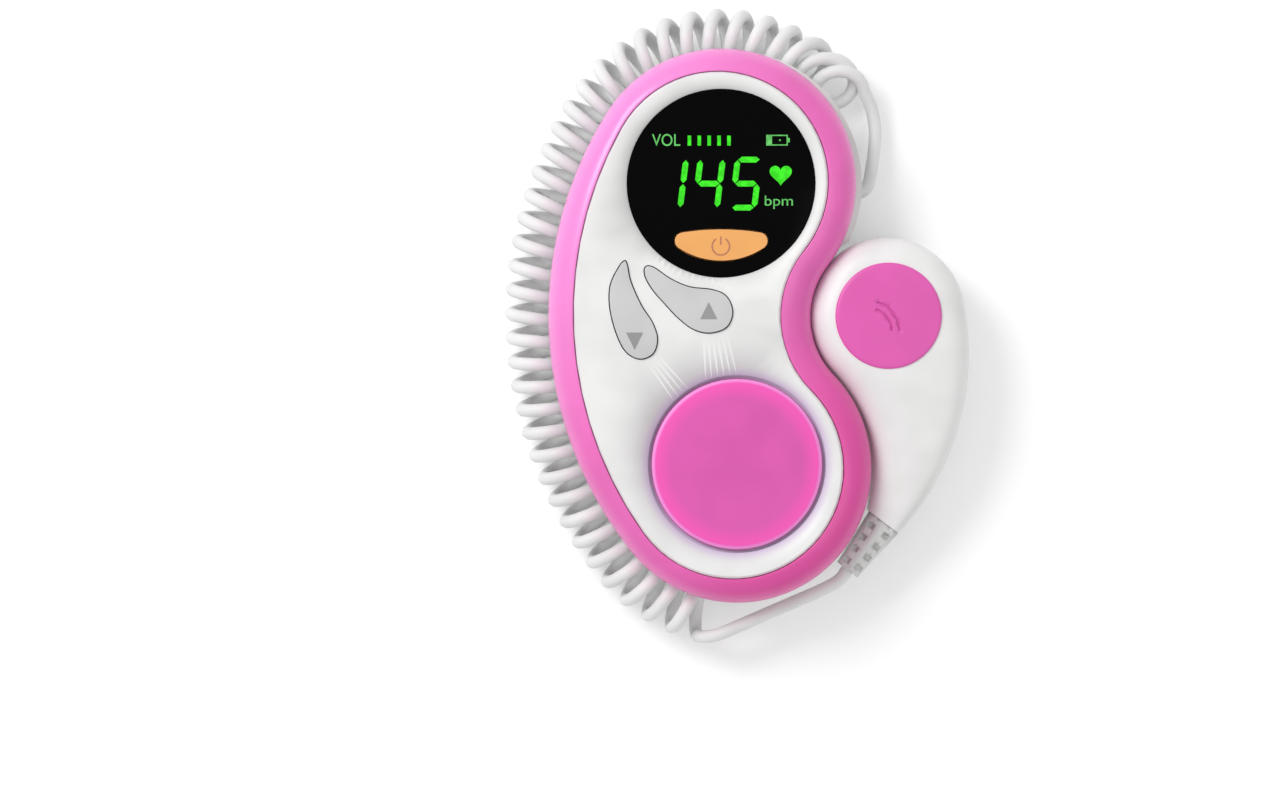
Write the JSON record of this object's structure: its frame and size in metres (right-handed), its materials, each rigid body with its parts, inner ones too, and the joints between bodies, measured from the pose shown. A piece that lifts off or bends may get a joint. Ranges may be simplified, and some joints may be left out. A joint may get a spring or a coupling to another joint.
{
  "type": "fetal doppler monitor",
  "caption": "Handheld fetal heart monitor: bean-shaped unit with round display, push buttons and speaker, an ultrasound probe docked in its waist and a curly cord wound round its side.",
  "frame": {"origin": "on the flat back face, under the middle of the main unit", "axes": "+Z out of the display face, +Y towards the display end, +X towards the docked probe"},
  "size_m": [0.1138, 0.1571, 0.0299],
  "materials": {
    "white_shell": "satin",
    "pink_trim": "gloss",
    "black_window": "gloss",
    "orange_button": "satin",
    "grey_button": "satin",
    "cell_jacket": "satin",
    "spring_steel": "bright",
    "screw_steel": "bright",
    "board": "satin",
    "switch_black": "matte",
    "display_glass": "gloss",
    "light_guide": "satin",
    "frame_plastic": "matte",
    "speaker_body": "matte",
    "foam": "matte",
    "jack_body": "satin",
    "cord_jacket": "matte",
    "relief_rubber": "matte",
    "lens_face": "satin",
    "ceramic": "matte",
    "backing": "matte"
  },
  "bodies": {
    "main_unit": {"rear_shell": "white_shell", "bezel_ring": "pink_trim", "face_panel": "white_shell", "display_window": "black_window", "speaker_cover": "pink_trim", "battery_cells": "cell_jacket", "battery_springs": "spring_steel", "battery_contacts": "spring_steel", "housing_screws": "screw_steel", "main_board": "board", "tact_switches": "switch_black", "lcd_module": "display_glass", "backlight": "light_guide", "display_frame": "frame_plastic", "speaker": "speaker_body", "speaker_gasket": "foam", "headphone_jack": "jack_body", "cord_gland": "relief_rubber", "body_lead": "cord_jacket", "curly_cord": "cord_jacket", "probe_lead": "cord_jacket"},
    "power_button": {"power_button": "orange_button"},
    "volume_down_button": {"volume_down_button": "grey_button"},
    "volume_up_button": {"volume_up_button": "grey_button"},
    "battery_door": {"battery_door": "white_shell"},
    "probe": {"probe_top_shell": "white_shell", "probe_bottom_shell": "white_shell", "probe_disc": "pink_trim", "probe_lens": "lens_face", "transducer_crystals": "ceramic", "transducer_backing": "backing", "probe_board": "board", "probe_screws": "screw_steel", "probe_strain_relief": "relief_rubber"}
  },
  "joints": [
    {"name": "power_press", "type": "slide", "parent": "main_unit", "child": "power_button", "axis": [0, 0, -1], "range_m": [0, 0.0006], "stiffness_N_per_m": 1500, "springref_m": -0.0003},
    {"name": "volume_down_press", "type": "slide", "parent": "main_unit", "child": "volume_down_button", "axis": [0, 0, -1], "range_m": [0, 0.0006], "stiffness_N_per_m": 1500, "springref_m": -0.0003},
    {"name": "volume_up_press", "type": "slide", "parent": "main_unit", "child": "volume_up_button", "axis": [0, 0, -1], "range_m": [0, 0.0006], "stiffness_N_per_m": 1500, "springref_m": -0.0003},
    {"name": "battery_door_slide", "type": "slide", "parent": "main_unit", "child": "battery_door", "axis": [0, -1, 0], "range_m": [0, 0.006]},
    {"name": "probe_undock", "type": "slide", "parent": "main_unit", "child": "probe", "axis": [1, 0, 0], "range_m": [0, 0.024], "deforming": ["probe_lead"]}
  ]
}
